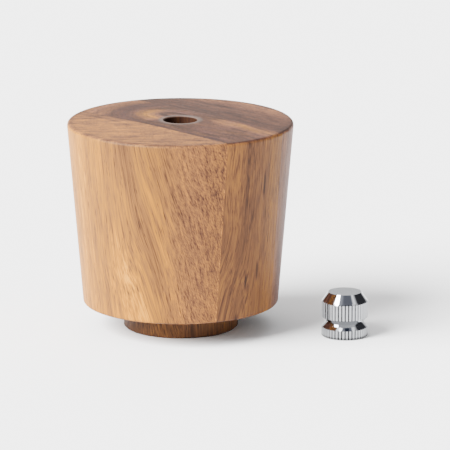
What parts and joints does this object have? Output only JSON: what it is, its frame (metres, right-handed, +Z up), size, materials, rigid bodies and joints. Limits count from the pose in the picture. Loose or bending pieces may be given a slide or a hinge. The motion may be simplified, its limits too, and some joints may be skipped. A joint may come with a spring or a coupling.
{
  "type": "pepper mill head with adjusting knob",
  "caption": "Turned wooden pepper mill head of glued boards, with a spindle hole, a spigot and a drive plate, and its chromed knurled adjusting knob unscrewed beside it.",
  "frame": {"origin": "on the head's axis, at the lower end of the spigot, which is the plane that the head and the loose knob stand on", "axes": "+Z up along the spindle hole, +X to the right towards the loose knob, -Y to the front"},
  "size_m": [0.0796, 0.06, 0.056],
  "materials": {
    "honey_board": "oiled acacia, honey tan with darker pores",
    "dark_streaked_board": "oiled acacia, brown and yellow stripes with black streaks",
    "mauve_board": "oiled acacia, pinkish brown",
    "plate_steel": "satin stamped steel",
    "screw_steel": "bright zinc plated",
    "knob_chrome": "polished chrome plate, knurled bands and a satin top disc"
  },
  "bodies": {
    "head": {"board_front_left": "honey_board", "board_middle": "dark_streaked_board", "board_back_right": "mauve_board", "drive_plate": "plate_steel", "plate_screw_1": "screw_steel", "plate_screw_2": "screw_steel", "plate_screw_3": "screw_steel"},
    "knob": {"adjusting_knob": "knob_chrome"}
  },
  "joints": [
    {"name": "knob_lift", "type": "slide", "parent": "head", "child": "knob", "axis": [0, 0, 1], "range_m": [0, 0.06]}
  ]
}
